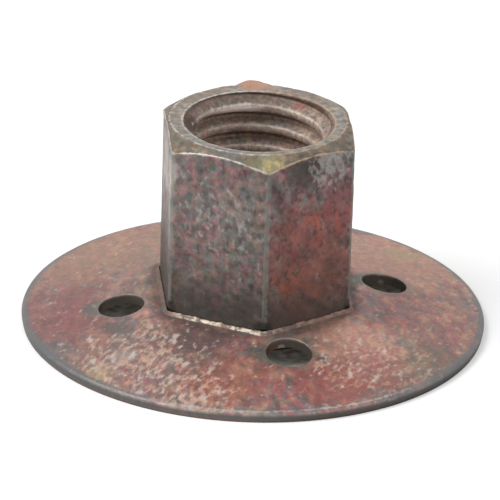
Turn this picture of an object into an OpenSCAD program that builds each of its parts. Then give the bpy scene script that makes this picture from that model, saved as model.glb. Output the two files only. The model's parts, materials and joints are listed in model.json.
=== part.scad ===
// Lock nut that clamps a disc backing pad on a 5/8-11 spindle.
//
// A tall hexagonal sleeve nut stands on a dished steel disc. The sleeve's turned spigot passes
// through the disc and is clinched over beneath it, and the disc's metal is staked up round the
// foot of the hexagon so that the sleeve can't turn. Four holes in the disc take a pin spanner.
//
// +Z is the axis of the thread, and Z = 0 is the plane that the rim of the disc stands on.

/* [Thread] */
// Major diameter of the thread, measured at its roots in the sleeve
thread_major_d = 15.875; // [12:0.125:20]
// Threads per inch
thread_tpi = 11; // [8:1:20]
// How much wider than the bare thread form the tapping hole was drilled
tap_allowance = 0.2; // [0:0.05:0.5]
// How much wider than the thread each countersunk mouth is
mouth_over = 0.025; // [0:0.025:0.4]

/* [Hexagonal sleeve] */
// Least wall between the thread's roots and the flats
flat_wall = 1.65; // [1.3:0.05:4]
// Height of the hexagon above the disc's seat
hex_h = 19.5; // [12:0.5:40]
// Radius worn on the six long corners
corner_r = 0.6; // [0.2:0.1:1.5]
// How far the top chamfer reaches in from the sharp corners
top_relief = 1.8; // [1:0.1:2.2]
// Slope of both chamfers, from square to the axis
chamfer_deg = 31; // [20:1:45]
// How far the top chamfer was turned off centre, towards the rear corner
chamfer_offset = 0.48; // [0:0.04:0.6]
// How far the foot's chamfer reaches in from the sharp corners
foot_relief = 1; // [0.2:0.1:1.6]

/* [Struck corner] */
// Radius of the low burr raised on the rear corner of the top face
burr_r = 6.5; // [3:0.5:9]
// How far the burr stands above the top face
burr_rise = 0.1; // [0:0.05:0.5]
// How far in from the sharp corner the burr is centred
burr_inset = 1.2; // [0:0.1:1.5]
// How far to the right of the corner the burr is centred
burr_shift = 0.6; // [-1:0.1:1]

/* [Clinched spigot] */
// Width of the shoulder left at the middle of each flat
shoulder_w = 0.45; // [0.2:0.05:0.8]
// How far the clinched collar spreads past the spigot
collar_reach = 1.5; // [0.6:0.1:2]
// Thickness of the clinched collar
collar_t = 1.2; // [0.6:0.1:1.4]
// Radius on the collar's lower edge
collar_edge_r = 0.5; // [0.1:0.1:0.5]

/* [Dished disc] */
// Outer diameter of the disc
disc_d = 49.2; // [40:0.2:80]
// Thickness of the sheet
sheet_t = 1.1; // [0.8:0.1:1.6]
// Slope of the dish, from the seat down to the rim
dish_deg = 10.8; // [9:0.2:20]
// Outer radius of the bend between the seat and the dish
bend_r = 1.6; // [1.6:0.1:4]
// Flat left on the seat outside the staked lip's corners
seat_margin = 0.2; // [0.2:0.05:2]
// Radius rolled on the upper edge of the rim by the blanking die
rim_roll_r = 0.45; // [0.1:0.05:0.6]
// Width of the flat worn under the rim, where the disc stands
rim_land = 0.25; // [0.1:0.05:0.5]

/* [Staked lip] */
// Width of the lip at its root
lip_w = 0.4; // [0.3:0.05:1]
// Height of the lip above the seat
lip_h = 0.4; // [0.2:0.05:0.8]
// Slope of the lip's outer side, from upright
lip_lean_deg = 35; // [0:5:45]
// Clearance between the sleeve and the disc, on each side
fit_gap = 0.03; // [0.01:0.01:0.1]

/* [Spanner holes] */
// Number of holes
hole_count = 4; // [2:1:6]
// Diameter of each hole
hole_d = 4.8; // [3:0.1:6]
// Metal left between the bend and the holes
hole_web = 0.12; // [0.02:0.02:3]
// Angle from the front corner of the hexagon to the nearest hole
hole_clock_deg = 9.3; // [0:0.1:30]

/* [Hidden] */

$fn = 96;
eps = 0.01;           // cuts run this far past the faces that they open
corner_proud = 0.002; // the corners' circles stand over the flats by this, and so cross them cleanly
mm_per_inch = 25.4;
hex_sides = 6;
half_side_deg = 180 / hex_sides;
bend_steps = 3;       // flats that stand in for the bend's arc
roll_steps = 8;       // flats that stand in for the rim's rolled arc

// Thread: the crests lie in the drilled hole, 5/8 of the sharp form's height inside the roots
thread_pitch = mm_per_inch / thread_tpi;
thread_depth = 5 / 8 * thread_pitch * cos(30);
bore_d = thread_major_d - 2 * thread_depth + tap_allowance;
mouth_d = thread_major_d + mouth_over;
mouth_depth = (mouth_d - bore_d) / 2;

// Hexagon
hex_af = thread_major_d + 2 * flat_wall;
hex_corner_r = hex_af / 2 / cos(half_side_deg);
top_ring_r = hex_corner_r - top_relief;
foot_ring_r = hex_corner_r - foot_relief;

// Staked lip, round the foot of the hexagon
lip_inner_af = hex_af + 2 * fit_gap;
lip_outer_af = lip_inner_af + 2 * lip_w;
lip_corner_r = lip_outer_af / 2 / cos(half_side_deg);

// Disc: the seat, the bend and the dish are one sheet of constant thickness
seat_r = lip_corner_r + seat_margin;
bend_centre_r = seat_r - bend_r * tan(dish_deg / 2);
rim_round_loss = rim_roll_r * (cos(dish_deg) + sin(dish_deg) - 1);
dish_length = (disc_d / 2 + rim_round_loss - bend_centre_r - bend_r * sin(dish_deg)) / cos(dish_deg);
rim_sink = rim_land * sin(dish_deg) * cos(dish_deg);
bend_centre_z = dish_length * sin(dish_deg) - (bend_r - sheet_t) * cos(dish_deg) - rim_sink;
seat_z = bend_centre_z + bend_r;

// Sleeve, from the clinched collar's face to the top face
top_z = seat_z + hex_h;
spigot_d = hex_af - 2 * shoulder_w;
collar_top_z = seat_z - sheet_t;
foot_z = collar_top_z - collar_t;
collar_r = spigot_d / 2 + collar_reach;

// One corner of the hexagon points to the front, and the holes are placed from it
front_deg = -90;
hole_circle_r = bend_centre_r + bend_r * sin(dish_deg) + hole_web + hole_d / 2;

echo(str("hexagon ", hex_af, " across flats, bore ", bore_d, ", mouth ", mouth_d));
echo(str("top face at ", top_z, ", seat at ", seat_z, ", foot at ", foot_z));
echo(str("spanner holes on a circle of ", 2 * hole_circle_r));

// A hexagon with rounded corners: its flats and corner chords, and a circle in each corner
module rounded_hexagon(across_flats, radius) {
    centre_r = (across_flats / 2 - radius) / cos(half_side_deg);
    corners = [for (i = [0 : hex_sides - 1]) front_deg + i * 2 * half_side_deg];
    polygon([for (a = corners, side = [-1, 1])
        centre_r * [cos(a), sin(a)]
            + radius * [cos(a + side * half_side_deg), sin(a + side * half_side_deg)]]);
    for (a = corners)
        translate(centre_r * [cos(a), sin(a)]) circle(radius + corner_proud);
}

// A plain hexagonal prism, sharp cornered, with one corner to the front
module hex_prism(across_flats, height) {
    rotate(front_deg)
        cylinder(r = across_flats / 2 / cos(half_side_deg), h = height, $fn = hex_sides);
}

// A round bar of height h, chamfered at its top end down to a ring of ring_r
module chamfered_bar(ring_r, h) {
    bar_r = hex_corner_r + top_relief;
    rotate_extrude()
        polygon([
            [0, 0],
            [bar_r, 0],
            [bar_r, h - (bar_r - ring_r) * tan(chamfer_deg)],
            [ring_r, h],
            [0, h]
        ]);
}

// What the lathe and the struck corner leave of the hexagonal bar above the seat
module hexagon_body() {
    intersection() {
        linear_extrude(hex_h + burr_rise) rounded_hexagon(hex_af, corner_r);
        union() {
            translate([0, chamfer_offset, 0]) chamfered_bar(top_ring_r, hex_h);
            translate([burr_shift, hex_corner_r - burr_inset, hex_h + burr_rise - burr_r])
                rotate([0, 90, 0]) sphere(burr_r);
        }
        translate([0, 0, hex_h + burr_rise]) mirror([0, 0, 1])
            chamfered_bar(foot_ring_r, hex_h + burr_rise);
    }
}

// The turned spigot, and the collar that is swaged out of it under the disc
module clinched_spigot() {
    translate([0, 0, foot_z]) cylinder(d = spigot_d, h = seat_z - foot_z + eps);
    translate([0, 0, foot_z]) rotate_extrude() {
        square([collar_r - collar_edge_r, collar_t]);
        translate([0, collar_edge_r]) square([collar_r, collar_t - collar_edge_r]);
        translate([collar_r - collar_edge_r, collar_edge_r]) circle(collar_edge_r);
    }
}

// The bore at the thread's crests, with a countersunk mouth at each end
module threaded_bore() {
    translate([0, 0, foot_z - eps]) cylinder(d = bore_d, h = top_z - foot_z + 2 * eps);
    translate([0, 0, top_z - mouth_depth])
        cylinder(d1 = bore_d, d2 = mouth_d + 2 * burr_rise, h = mouth_depth + burr_rise);
    translate([0, 0, foot_z - eps])
        cylinder(d1 = mouth_d + 2 * eps, d2 = bore_d, h = mouth_depth + eps);
}

module hex_sleeve() {
    color([0.46, 0.39, 0.37])
        difference() {
            union() {
                translate([0, 0, seat_z]) hexagon_body();
                clinched_spigot();
            }
            threaded_bore();
        }
}

// A point on the sheet's section: so far along the dish and so high over the bend's centre
function on_dish(along, height) =
    [bend_centre_r, bend_centre_z]
        + along * [cos(dish_deg), -sin(dish_deg)]
        + height * [sin(dish_deg), cos(dish_deg)];

// The points of an arc
function arc(centre, radius, from_deg, to_deg, steps) =
    [for (i = [0 : steps])
        let (a = from_deg + (to_deg - from_deg) * i / steps) centre + radius * [cos(a), sin(a)]];

// Half section of the pressed sheet, clockwise from the inner edge of the underside: seat,
// bend, dish, the flat under the rim, the rim's rolled edge, and back over the top
module sheet_section() {
    inner_r = spigot_d / 2 + fit_gap;
    bend_centre = [bend_centre_r, bend_centre_z];
    lower_corner_r = on_dish(dish_length, bend_r - sheet_t).x;
    polygon(concat(
        [[inner_r, collar_top_z]],
        arc(bend_centre, bend_r - sheet_t, 90, 90 - dish_deg, bend_steps),
        [[lower_corner_r - rim_sink / tan(dish_deg), 0]],
        [[lower_corner_r + rim_sink * tan(dish_deg), 0]],
        arc(on_dish(dish_length - rim_roll_r, bend_r - rim_roll_r),
            rim_roll_r, -dish_deg, 90 - dish_deg, roll_steps),
        arc(bend_centre, bend_r, 90 - dish_deg, 90, bend_steps),
        [[inner_r, seat_z]]
    ));
}

// The lip that the staking punch raised from the seat: a hexagonal ring that leans inwards and
// is rooted in the sheet
module staked_lip() {
    root_depth = sheet_t / 2;
    punch_w = sheet_t + lip_w + lip_h;
    difference() {
        translate([0, 0, seat_z - root_depth])
            hex_prism(lip_outer_af + 2 * sheet_t, root_depth + lip_h);
        translate([0, 0, seat_z - sheet_t]) hex_prism(lip_inner_af, 2 * sheet_t + lip_h);
        for (i = [0 : hex_sides - 1])
            rotate(i * 2 * half_side_deg) translate([lip_outer_af / 2, 0, seat_z])
                rotate([0, -lip_lean_deg, 0]) translate([0, -lip_outer_af, -punch_w])
                    cube([2 * punch_w, 2 * lip_outer_af, 3 * punch_w]);
    }
}

// The spanner holes, pierced along the axis
module spanner_holes() {
    for (i = [0 : hole_count - 1])
        rotate(front_deg + hole_clock_deg + i * 360 / hole_count)
            translate([hole_circle_r, 0, -eps]) cylinder(d = hole_d, h = seat_z + sheet_t);
}

module flange_disc() {
    color([0.58, 0.42, 0.40])
        difference() {
            union() {
                // turned so that the seam of the spun sheet falls between two holes
                rotate(front_deg + hole_clock_deg + 180 / hole_count)
                    rotate_extrude() sheet_section();
                staked_lip();
            }
            spanner_holes();
        }
}

hex_sleeve();
flange_disc();
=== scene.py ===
# %% [markdown]
# # A lock nut for a disc backing pad
#
# The nut is made of two steel pieces. A tall hexagonal sleeve is threaded right through, and a
# dished disc, pressed from sheet, is clinched round its foot. Both were plated with zinc and
# dipped in a yellow chromate, which has worn to rose, tan and grey-green.
#
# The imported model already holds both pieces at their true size, but with a plain bore, sharp
# hole edges and a smooth lip. Both are made again here as finer meshes that ride on the same
# body, so that the thread, the worn edges and the ragged lip are real geometry.

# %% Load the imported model
import json
import math
import bmesh
import bpy
import numpy as np
from mathutils import Matrix, Vector, noise


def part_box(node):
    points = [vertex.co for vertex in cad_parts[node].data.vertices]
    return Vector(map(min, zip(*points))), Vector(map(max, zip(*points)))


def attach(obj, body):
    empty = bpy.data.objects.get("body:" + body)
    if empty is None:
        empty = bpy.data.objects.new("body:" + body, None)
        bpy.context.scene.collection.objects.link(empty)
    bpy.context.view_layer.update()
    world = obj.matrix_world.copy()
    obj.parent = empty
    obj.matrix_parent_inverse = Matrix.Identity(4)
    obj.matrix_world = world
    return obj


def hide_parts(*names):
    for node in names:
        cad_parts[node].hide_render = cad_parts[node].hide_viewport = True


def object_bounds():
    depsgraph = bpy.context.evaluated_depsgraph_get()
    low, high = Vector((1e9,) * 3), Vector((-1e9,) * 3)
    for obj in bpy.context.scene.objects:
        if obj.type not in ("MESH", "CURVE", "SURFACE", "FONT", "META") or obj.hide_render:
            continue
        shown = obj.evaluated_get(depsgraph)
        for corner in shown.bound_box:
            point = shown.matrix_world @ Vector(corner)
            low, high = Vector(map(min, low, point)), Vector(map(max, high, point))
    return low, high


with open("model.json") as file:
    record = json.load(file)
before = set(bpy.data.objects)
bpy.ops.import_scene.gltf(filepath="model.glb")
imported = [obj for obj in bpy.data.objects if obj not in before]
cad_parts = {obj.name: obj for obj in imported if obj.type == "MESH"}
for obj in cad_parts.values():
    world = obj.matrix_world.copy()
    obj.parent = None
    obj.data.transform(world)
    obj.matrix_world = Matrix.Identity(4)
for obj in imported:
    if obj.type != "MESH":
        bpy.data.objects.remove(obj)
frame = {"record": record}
cad_box = [list(corner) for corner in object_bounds()]
MM = 0.001
print("packed model, from", cad_box[0], "to", cad_box[1])

# %% [markdown]
# ## Sizes
#
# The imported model's boxes and mounts give most sizes. The rest are the same driving sizes that
# the part was drawn with. Everything below is in millimetres until a mesh is written.

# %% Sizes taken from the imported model
mounts = {mount["name"]: mount for mount in frame["record"]["mounts"]}
sleeve_low, sleeve_high = [np.array(corner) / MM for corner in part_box("hex_sleeve")]
disc_high = np.array(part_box("flange_disc")[1]) / MM

top_z = mounts["top_face"]["pos_m"][2] / MM
foot_z = sleeve_low[2]
burr_z = sleeve_high[2]
collar_r = sleeve_high[0]
crest_r = mounts["spindle_thread"]["dims"]["r_mm"]
disc_r = disc_high[0]
hole_r = mounts["spanner_holes"]["dims"]["hole_r_mm"]
hole_circle_r = mounts["spanner_holes"]["dims"]["pcd_mm"] / 2
hole_count = mounts["spanner_holes"]["dims"]["count"]
print("top face", round(top_z, 3))
print("collar radius", round(collar_r, 3), "disc radius", round(disc_r, 3))

# %% Sizes of the sleeve
SIDES = 6
HALF_SIDE = math.pi / SIDES
FRONT = -math.pi / 2                 # one corner of the hexagon points to the front
INCH = 25.4
thread_major_d = 15.875
thread_tpi = 11
mouth_over = 0.025                   # how much wider than the thread each mouth is
root_r = thread_major_d / 2
mouth_r = root_r + mouth_over / 2
pitch = INCH / thread_tpi
flat_wall = 1.65                     # from the thread's roots out to the flats
flat_r = root_r + flat_wall
hexagon_corner_r = flat_r / math.cos(HALF_SIDE)
corner_round = 0.6
chamfer_slope = math.radians(31)
chamfer_offset = 0.48                # the top was turned off centre, towards the rear corner
top_relief, foot_relief = 1.8, 1.0   # how far the chamfers reach in from the sharp corners
top_ring_r = hexagon_corner_r - top_relief
foot_ring_r = hexagon_corner_r - foot_relief
shoulder_w = 0.45                    # from the flats in to the turned spigot
spigot_r = flat_r - shoulder_w
collar_t = 1.2
collar_edge_r = 0.5
print("hexagon across flats", round(2 * flat_r, 3), "thread pitch", round(pitch, 3))

# %% Sizes of the disc
sheet_t = 1.1
seat_z = foot_z + collar_t + sheet_t
dish = math.radians(10.8)
bend_r = 1.6
rim_roll_r = 0.45
rim_land = 0.25                      # the flat worn under the rim
fit_gap = 0.03                       # between the sleeve and the disc, on each side
lip_w = 0.4
lip_h = 0.4
seat_margin = 0.2                    # the flat left outside the lip's corners
seat_edge_r = (flat_r + fit_gap + lip_w) / math.cos(HALF_SIDE) + seat_margin
bend_centre_r = seat_edge_r - bend_r * math.tan(dish / 2)
bend_centre_z = seat_z - bend_r
rim_loss = rim_roll_r * (math.cos(dish) + math.sin(dish) - 1)
dish_length = (disc_r + rim_loss - bend_centre_r - bend_r * math.sin(dish)) / math.cos(dish)
first_hole = FRONT + math.radians(9.3)
hole_angles = [first_hole + i * 2 * math.pi / hole_count for i in range(hole_count)]
hole_centres = [hole_circle_r * np.array([math.cos(a), math.sin(a)]) for a in hole_angles]
print("seat at", round(seat_z, 3), "dish length", round(dish_length, 3))

# %% [markdown]
# ## From rows and columns to a mesh
#
# Both pieces are turned forms, so each is a closed section that is carried round the axis. A
# lathe modifier could spin one section, but the hexagon, the chamfer that was turned off centre
# and the rising thread all change the section as it goes round. So each mesh is a grid of points
# worked out in columns, one section to a column, and equal points are welded afterwards.

# %% Build a mesh from a grid of points
WELD_WITHIN = 0.002


def grid_faces(rows, columns, keep=None):
    """Corner numbers of each square of a grid whose points are numbered along its rows."""
    row, column = np.meshgrid(np.arange(rows - 1), np.arange(columns - 1), indexing="ij")
    if keep is not None:
        row, column = row[keep], column[keep]
    first = (row * columns + column).ravel()
    return np.stack([first, first + 1, first + columns + 1, first + columns], axis=1)


def make_piece(name, points, faces, attributes):
    """A mesh object, in metres, whose equal points are welded and whose empty faces are dropped."""
    mesh = bpy.data.meshes.new(name)
    mesh.from_pydata((points * MM).tolist(), [], faces.tolist())
    for title, values in attributes.items():
        layer = mesh.attributes.new(title, "FLOAT", "POINT")
        layer.data.foreach_set("value", values.astype(np.float32))
    piece = bpy.data.objects.new(name, mesh)
    bpy.context.scene.collection.objects.link(piece)
    shell = bmesh.new()
    shell.from_mesh(mesh)
    bmesh.ops.remove_doubles(shell, verts=shell.verts, dist=WELD_WITHIN * MM)
    bmesh.ops.recalc_face_normals(shell, faces=shell.faces)
    shell.to_mesh(mesh)
    shell.free()
    mesh.polygons.foreach_set("use_smooth", [True] * len(mesh.polygons))
    return piece


def read_points(piece):
    """The piece's points and their normals, in millimetres."""
    count = len(piece.data.vertices)
    points, normals = np.zeros(count * 3), np.zeros(count * 3)
    piece.data.vertices.foreach_get("co", points)
    piece.data.vertices.foreach_get("normal", normals)
    return points.reshape(-1, 3) / MM, normals.reshape(-1, 3)


def write_points(piece, points):
    piece.data.vertices.foreach_set("co", (points * MM).ravel())
    piece.data.update()


# %% Uneven metal
def roughen(points, size, seed):
    """Smooth noise from -1 to 1 at each point, with lumps of about the given size."""
    shift = Vector((seed * 7.31, seed * 3.17, seed * 5.77))
    return np.array([noise.noise(Vector(p) / size + shift) for p in points])


def lumps(points, layers):
    """Several such noises at once, each given as the size of its lumps, its height and its seed."""
    return sum(roughen(points, size, seed) * height for size, height, seed in layers)


def fade(value, start, end):
    """0 before start and 1 after end, smoothly."""
    t = np.clip((value - start) / (end - start), 0, 1)
    return t * t * (3 - 2 * t)


# %% [markdown]
# ## The hexagon
#
# A hexagon with worn corners is the same outline wherever it is needed: at the sleeve's flats,
# and on both sides of the lip that was staked up round them. It is written once, as the distance
# from the axis in each direction.

# %% Distance from the axis to a rounded hexagon
def turn_off_corner(angle):
    """How far each direction is turned from the nearest corner."""
    return np.abs((angle - FRONT + HALF_SIDE) % (2 * HALF_SIDE) - HALF_SIDE)


def corner_arc(apothem, rounding):
    """How far out the centre of a corner's arc is, and the turn at which it meets the flat."""
    centre = (apothem - rounding) / math.cos(HALF_SIDE)
    across, along = rounding * math.sin(HALF_SIDE), rounding * math.cos(HALF_SIDE)
    return centre, math.atan2(across, centre + along)


def hexagon_r(angle, apothem, rounding):
    """Distance to the outline of a hexagon, with one corner to the front, in each direction."""
    off_corner = turn_off_corner(angle)
    centre, tangent = corner_arc(apothem, rounding)
    on_corner = centre * np.cos(off_corner) + np.sqrt(
        np.maximum(rounding**2 - (centre * np.sin(off_corner)) ** 2, 0))
    on_flat = apothem / np.cos(HALF_SIDE - off_corner)
    return np.where(off_corner < tangent, on_corner, on_flat)


# %% Directions of the sleeve's columns
def sleeve_angles(corner_steps=6, flat_steps=25):
    """Once round, from a corner to the same corner, with the columns closest at each corner."""
    tangent = corner_arc(flat_r, corner_round)[1]
    on_corner = np.linspace(0, tangent, corner_steps, endpoint=False)
    on_flat = tangent + (HALF_SIDE - tangent) * np.linspace(0, 1, flat_steps) ** 1.5
    half = np.concatenate([on_corner, on_flat])
    side = np.concatenate([half, 2 * HALF_SIDE - half[-2:0:-1]])
    turn = [FRONT + corner * 2 * HALF_SIDE + side for corner in range(SIDES)]
    return np.concatenate(turn + [[FRONT + 2 * math.pi]])


angles = sleeve_angles()
ray = np.stack([np.cos(angles), np.sin(angles)])
print("sleeve columns:", len(angles))

# %% [markdown]
# ## The sleeve's section
#
# Each column runs up the flat, over the chamfer, across the top face, down the thread, round the
# clinched collar and back up the spigot to the seat. Every edge is an arc, because plating and
# wear leave none of them sharp. Where the chamfer misses the flats, its two arcs meet at one
# point and the weld joins them, so no column needs a special case.

# %% Worn edges of the chamfered ends
def chamfered_end(wall_r, ring_r, edge_r, arc_steps=4, cone_steps=6):
    """Points from the wall to the flat end, as distance from the axis and depth below the end."""
    shift = edge_r * (1 - math.cos(chamfer_slope)) / math.sin(chamfer_slope)
    first_r, second_r = wall_r - edge_r, ring_r - shift
    depth = ((first_r - ring_r) * math.sin(chamfer_slope) + edge_r) / math.cos(chamfer_slope)
    missed = second_r > first_r
    second_r = np.where(missed, first_r, second_r)
    depth = np.where(missed, edge_r, depth)
    cone_turn = math.pi / 2 - chamfer_slope
    rows = []
    for turn in np.linspace(0, cone_turn, arc_steps + 1):
        rows.append((first_r + edge_r * math.cos(turn), depth - edge_r * math.sin(turn)))
    for share in np.linspace(0, 1, cone_steps + 1)[1:-1]:
        rows.append((first_r + (second_r - first_r) * share + edge_r * math.cos(cone_turn),
                     depth + (edge_r - depth) * share - edge_r * math.sin(cone_turn)))
    for turn in np.linspace(cone_turn, math.pi / 2, arc_steps + 1):
        rows.append((second_r + edge_r * math.cos(turn), edge_r - edge_r * math.sin(turn)))
    return rows


# %% The hexagon's wall and both its chamfered ends
wall_r = hexagon_r(angles, flat_r, corner_round)
off_axis = chamfer_offset * ray[1]
ring_r = off_axis + np.sqrt(top_ring_r**2 - (chamfer_offset * ray[0]) ** 2)
TOP_EDGE_R, FOOT_EDGE_R = 0.07, 0.1  # how far the worn edges are rounded
WALL_STEPS = 53
GATHER_AT_ENDS = 0.05                # draws the wall's rows towards both its ends
foot_chamfer = chamfered_end(wall_r, foot_ring_r, FOOT_EDGE_R)
top_chamfer = chamfered_end(wall_r, ring_r, TOP_EDGE_R)
foot_rows = [(r, seat_z + depth) for r, depth in foot_chamfer[::-1]]
top_rows = [(r, top_z - depth) for r, depth in top_chamfer]
wall_rows = []
for share in np.linspace(0, 1, WALL_STEPS + 1)[1:-1]:
    share -= GATHER_AT_ENDS * math.sin(2 * math.pi * share)
    wall_rows.append((wall_r, foot_rows[-1][1] + (top_rows[0][1] - foot_rows[-1][1]) * share))
print("wall rows:", len(foot_rows) + len(wall_rows) + len(top_rows))

# %% [markdown]
# ## The thread
#
# A right-hand thread rises as it turns anticlockwise, seen from above. The rows of the bore rise
# with it, so that the crests and roots are clean lines instead of steps. A screw modifier would
# give the same helix, but not the countersunk mouths that cut into it. Rows that would pass an
# end of the bore are held at it, where the weld gathers them into one ring. The countersink is
# the larger of the two radii at each point, the thread's or the cone's.

# %% Section of the thread
root_flat = pitch / 8
FLANK_SLOPE = math.tan(math.radians(30))
flank = (root_r - crest_r) * FLANK_SLOPE
THREAD_ROUND = 0.05


def smooth_max(a, b, blend):
    """The larger of two values, with their crossing rounded off."""
    return (a + b + np.sqrt((a - b) ** 2 + blend**2)) / 2


def thread_r(below_root):
    """Radius of the thread at a distance below the middle of a root, with worn corners."""
    away = np.abs((below_root + pitch / 2) % pitch - pitch / 2)
    slope = root_r - (away - root_flat / 2) / FLANK_SLOPE
    return -smooth_max(-root_r, -smooth_max(slope, crest_r, THREAD_ROUND), THREAD_ROUND)


# %% Rows of the bore
FIRST_ROOT_DEPTH = 2.62              # of the root at the back, below the top face
MOUTH_ROUND = 0.1
CONE_ROUND = 0.04
crest_edge = root_flat / 2 + flank
half_section = [0, 0.13, 0.24, 0.52, crest_edge - 0.03, crest_edge + 0.06]   # down from a root
one_turn = half_section + [pitch / 2] + [pitch - x for x in half_section[:0:-1]]
turns = math.ceil((top_z - foot_z) / pitch) + 3
below = np.concatenate([np.array(one_turn) + turn * pitch for turn in range(turns)])
root_z = top_z - FIRST_ROOT_DEPTH + pitch * (angles - math.pi / 2) / (2 * math.pi)
first_root = root_z + math.ceil((top_z - root_z.min()) / pitch) * pitch
bore_rows = []
for depth in below:
    z = np.clip(first_root - depth, foot_z + MOUTH_ROUND, top_z - MOUTH_ROUND)
    cone = mouth_r - np.minimum(top_z - z, z - foot_z)
    bore_rows.append((smooth_max(thread_r(first_root - z), cone, CONE_ROUND), z))
print("bore rows:", len(bore_rows), "thread depth", round(root_r - crest_r, 3))

# %% The top face, the foot and the clinched collar
def arc_rows(centre_r, centre_z, radius, start, end, steps):
    """Rows along an arc of the section, from one direction to another, in degrees."""
    turns = np.radians(np.linspace(start, end, steps + 1))
    return [(centre_r + radius * math.cos(t), centre_z + radius * math.sin(t)) for t in turns]


def straight_rows(start, end, steps):
    """Rows between two points of the section, without either of them."""
    shares = np.linspace(0, 1, steps + 1)[1:-1]
    return [tuple(a + (b - a) * share for a, b in zip(start, end)) for share in shares]


MOUTH_BEVEL_W, MOUTH_BEVEL_H = 0.07, 0.03
mouth_edge = mouth_r + MOUTH_ROUND
mouth_rows = [(mouth_edge, top_z), (mouth_edge - MOUTH_BEVEL_W, top_z - MOUTH_BEVEL_H)]
face_rows = straight_rows(top_rows[-1], mouth_rows[0], 5)
COLLAR_SHOULDER = 0.1                # how far the collar's upper edge is rounded
shoulder_z = foot_z + collar_t - COLLAR_SHOULDER
collar_rows = (
    [(mouth_edge - MOUTH_BEVEL_W, foot_z + MOUTH_BEVEL_H), (mouth_edge, foot_z)]
    + straight_rows((mouth_edge, foot_z), (collar_r - collar_edge_r, foot_z), 4)
    + arc_rows(collar_r - collar_edge_r, foot_z + collar_edge_r, collar_edge_r, -90, 0, 6)
    + arc_rows(collar_r - COLLAR_SHOULDER, shoulder_z, COLLAR_SHOULDER, 0, 90, 3)
    + [(spigot_r, foot_z + collar_t), (spigot_r, seat_z)])
section = foot_rows + wall_rows + top_rows + face_rows + mouth_rows + bore_rows + collar_rows
section.append(section[0])
print("rows round the sleeve's section:", len(section))

# %% Put the section round the axis
sleeve_r = np.array([np.broadcast_to(r, angles.shape) for r, z in section])
sleeve_z = np.array([np.broadcast_to(z, angles.shape) for r, z in section])
sleeve_points = np.stack([sleeve_r * ray[0], sleeve_r * ray[1], sleeve_z], axis=-1)
print("grid of the sleeve:", sleeve_points.shape[:2])

# %% [markdown]
# ## The struck corner
#
# The rear corner of the top was struck, which raised a low burr over the chamfer. Sculpting
# would do, but a burr is close to a cap of a sphere, so the points of the top are lifted to one.
# The wall beneath is stretched to meet them.

# %% Raise the burr on the rear corner
burr_r = 6.5
burr_shift = 0.6                     # how far to the right of the corner the burr's middle is
burr_inset = 1.2                     # how far in from the sharp corner it is
burr_y = hexagon_corner_r - burr_inset
WALL_STRETCH = 6                     # the higher, the more of the stretch is near the top


def burr_lift(x, y, z):
    """How far the burr stands over the point."""
    inside = np.maximum(burr_r**2 - (x - burr_shift) ** 2 - (y - burr_y) ** 2, 0)
    return np.maximum(burr_z - burr_r + np.sqrt(inside) - z, 0) * (inside > 0)


wall_end = len(foot_rows) + len(wall_rows)
top_end = wall_end + len(top_rows) + len(face_rows) + len(mouth_rows)
top_part = sleeve_points[wall_end:top_end]
lift = burr_lift(top_part[..., 0], top_part[..., 1], top_part[..., 2])
share = (sleeve_z[:wall_end] - seat_z) / (sleeve_z[wall_end] - seat_z)
sleeve_points[:wall_end, :, 2] += lift[0] * share**WALL_STRETCH
sleeve_points[wall_end:top_end, :, 2] += lift
print("burr lifts the top by up to", round(float(lift.max()), 3))

# %% [markdown]
# ## Worn edges as a measure on the mesh
#
# Plating wears through first where two faces meet. The mesh stores how near each point is to
# such an edge, 1 on the edge itself, and the material reads that to bare the metal there. The
# Pointiness of Cycles does this by itself, but it follows every small dent too.

# %% How near each point of the sleeve is to a worn edge
def nearness(distance, reach):
    """1 up to the distance 0, and fading away within about the reach."""
    return np.exp(-(np.maximum(distance, 0) / reach) ** 2)


EDGE_ROWS = 5                        # rows in the rounded edge between wall and chamfer
CHAMFER_START, CHAMFER_END = 3, 12   # rows, counted from the end of the wall
BORE_SHADE = 9                       # depth at which the bore's painted shade is darkest
rows = np.arange(len(section))[:, None]
on_wall = (rows >= len(foot_rows) - EDGE_ROWS) & (rows < wall_end + EDGE_ROWS)
on_top = (rows >= wall_end) & (rows < top_end)
in_bore = (rows >= top_end) & (rows < top_end + len(bore_rows))
top_face = on_top & (rows >= wall_end + CHAMFER_START)
on_chamfer = (rows >= wall_end + CHAMFER_START) & (rows < wall_end + CHAMFER_END)
crest_share = np.clip((root_r - sleeve_r) / (root_r - crest_r), 0, 1) * in_bore
crest_seen = fade(sleeve_z, top_z - BORE_SHADE, top_z - 2) * in_bore
corner_wear = nearness(turn_off_corner(angles) * wall_r - 0.12, 0.24) * on_wall
flat_top_wear = nearness(top_rows[1][1] - sleeve_z, 0.14) * on_wall
ring_wear = 0.75 * nearness(np.abs(sleeve_r - top_rows[-3][0]) - 0.03, 0.1) * on_top
mouth_wear = nearness(np.abs(sleeve_r - mouth_edge), 0.14) * on_top
crest_wear = 0.9 * nearness(np.abs(crest_share - 0.9), 0.12) * crest_seen
sleeve_wear = np.max([corner_wear, flat_top_wear, ring_wear, mouth_wear, crest_wear], axis=0)
measures = {
    "edge_wear": sleeve_wear, "thread_crest": crest_share, "bore": in_bore, "top_face": top_face,
    "bore_depth": fade(top_z - sleeve_z, 0.5, BORE_SHADE) * in_bore, "chamfer": on_chamfer}

sleeve = make_piece(
    "threaded_sleeve", sleeve_points.reshape(-1, 3), grid_faces(len(section), len(angles)),
    {title: np.broadcast_to(values, sleeve_r.shape).ravel() for title, values in measures.items()})
print("sleeve:", len(sleeve.data.vertices), "points,", len(sleeve.data.polygons), "faces")

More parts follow.
